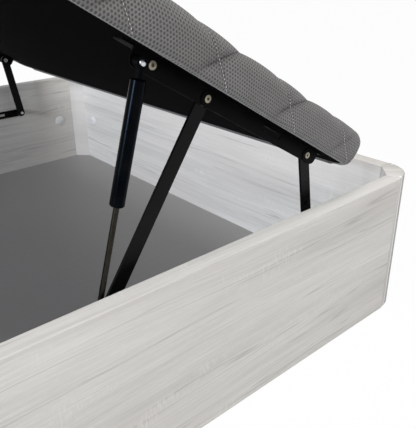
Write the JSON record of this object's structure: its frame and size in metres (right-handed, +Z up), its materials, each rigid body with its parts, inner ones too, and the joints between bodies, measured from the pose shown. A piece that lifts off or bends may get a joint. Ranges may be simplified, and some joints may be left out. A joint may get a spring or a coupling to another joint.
{
  "type": "storage bed base",
  "caption": "Double bed base with a low board box for storage and a quilted lid that lifts on side arms and gas springs.",
  "frame": {"origin": "on the floor at the centre of the box, under the open lid", "axes": "+X along the bed towards its head end, +Y across it, +Z up"},
  "size_m": [1.9, 1.35, 1.3679],
  "materials": {
    "washed_board": "matte",
    "washed_post": "matte",
    "floor_sheet": "matte",
    "batten_wood": "matte",
    "white_cap": "satin",
    "quilted_fabric": "matte",
    "black_underside": "matte",
    "lid_plywood": "matte",
    "nylon": "satin",
    "zinc": "satin",
    "black_tube": "gloss",
    "rod_steel": "polished",
    "black_steel": "satin"
  },
  "bodies": {
    "box": {"corner_post_foot_far": "washed_post", "corner_post_foot_near": "washed_post", "corner_post_head_far": "washed_post", "corner_post_head_near": "washed_post", "cover_cap_far_side_foot": "white_cap", "cover_cap_far_side_head": "white_cap", "cover_cap_foot_end_far": "white_cap", "cover_cap_foot_end_near": "white_cap", "cover_cap_head_end_far": "white_cap", "cover_cap_head_end_near": "white_cap", "cover_cap_near_side_foot": "white_cap", "cover_cap_near_side_head": "white_cap", "floor_battens": "batten_wood", "floor_panel_foot": "floor_sheet", "floor_panel_head": "floor_sheet", "foot_board": "washed_board", "gas_foot_pin_far": "black_steel", "gas_foot_pin_near": "black_steel", "head_board": "washed_board", "long_arm_pin_far": "black_steel", "long_arm_pin_near": "black_steel", "lower_rail_far": "black_steel", "lower_rail_near": "black_steel", "short_arm_pin_far": "black_steel", "short_arm_pin_near": "black_steel", "side_board_far": "washed_board", "side_board_near": "washed_board"},
    "lid": {"gas_lid_stud_far": "black_steel", "gas_lid_stud_near": "black_steel", "lid_board": "lid_plywood", "lid_pad": "quilted_fabric", "lid_rail_far": "black_steel", "lid_rail_near": "black_steel", "lid_underside": "black_underside", "long_arm_lid_bolt_far": "zinc", "long_arm_lid_bolt_near": "zinc", "long_arm_lid_bush_far": "nylon", "long_arm_lid_bush_near": "nylon", "long_arm_lid_nut_far": "zinc", "long_arm_lid_nut_near": "zinc", "short_arm_lid_bolt_far": "zinc", "short_arm_lid_bolt_near": "zinc", "short_arm_lid_bush_far": "nylon", "short_arm_lid_bush_near": "nylon", "short_arm_lid_nut_far": "zinc", "short_arm_lid_nut_near": "zinc"},
    "long_arm_near": {"long_arm_near": "black_steel"},
    "short_arm_near": {"short_arm_near": "black_steel"},
    "gas_rod_near": {"gas_rod_near": "rod_steel", "gas_rod_eye_near": "black_steel"},
    "gas_tube_near": {"gas_tube_near": "black_tube", "gas_top_eye_near": "black_steel", "gas_top_pin_near": "zinc"},
    "long_arm_far": {"long_arm_far": "black_steel"},
    "short_arm_far": {"short_arm_far": "black_steel"},
    "gas_rod_far": {"gas_rod_far": "rod_steel", "gas_rod_eye_far": "black_steel"},
    "gas_tube_far": {"gas_tube_far": "black_tube", "gas_top_eye_far": "black_steel", "gas_top_pin_far": "zinc"}
  },
  "joints": [
    {"name": "long_arm_foot_near", "type": "hinge", "parent": "box", "child": "long_arm_near", "pos_m": [0.23446, -0.617, 0.232], "axis": [0, 1, 0], "range_deg": [0, 45.84]},
    {"name": "lid_hinge", "type": "hinge", "parent": "long_arm_near", "child": "lid", "pos_m": [0.43278, -0.617, 0.52482], "axis": [0, 1, 0], "range_deg": [-76.85, 0]},
    {"name": "short_arm_head_near", "type": "hinge", "parent": "lid", "child": "short_arm_near", "pos_m": [0.6565, -0.617, 0.3904], "axis": [0, 1, 0], "range_deg": [0, 103.33]},
    {"name": "gas_rod_foot_near", "type": "hinge", "parent": "box", "child": "gas_rod_near", "pos_m": [0.22266, -0.6346, 0.254], "axis": [0, 1, 0], "range_deg": [0, 64.61]},
    {"name": "gas_stroke_near", "type": "slide", "parent": "gas_rod_near", "child": "gas_tube_near", "axis": [-0.2792, 0, -0.9602], "range_m": [0, 0.11622]},
    {"name": "long_arm_foot_far", "type": "hinge", "parent": "box", "child": "long_arm_far", "pos_m": [0.23446, 0.617, 0.232], "axis": [0, 1, 0], "range_deg": [0, 45.85]},
    {"name": "short_arm_head_far", "type": "hinge", "parent": "lid", "child": "short_arm_far", "pos_m": [0.6565, 0.617, 0.3904], "axis": [0, 1, 0], "range_deg": [0, 103.33]},
    {"name": "gas_rod_foot_far", "type": "hinge", "parent": "box", "child": "gas_rod_far", "pos_m": [0.22266, 0.6346, 0.254], "axis": [0, 1, 0], "range_deg": [0, 64.61]},
    {"name": "gas_stroke_far", "type": "slide", "parent": "gas_rod_far", "child": "gas_tube_far", "axis": [-0.2792, 0, -0.9602], "range_m": [0, 0.11622]}
  ],
  "couplings": [
    {"joint": "lid_hinge", "follows": "long_arm_foot_near", "ratio": -1.6762},
    {"joint": "short_arm_head_near", "follows": "long_arm_foot_near", "ratio": 2.2539},
    {"joint": "gas_rod_foot_near", "follows": "long_arm_foot_near", "ratio": 1.4093},
    {"joint": "gas_stroke_near", "follows": "long_arm_foot_near", "m_per_rad": 0.14524},
    {"joint": "long_arm_foot_far", "follows": "long_arm_foot_near", "ratio": 1},
    {"joint": "short_arm_head_far", "follows": "long_arm_foot_near", "ratio": 2.2539},
    {"joint": "gas_rod_foot_far", "follows": "long_arm_foot_near", "ratio": 1.4093},
    {"joint": "gas_stroke_far", "follows": "long_arm_foot_near", "m_per_rad": 0.14524}
  ]
}
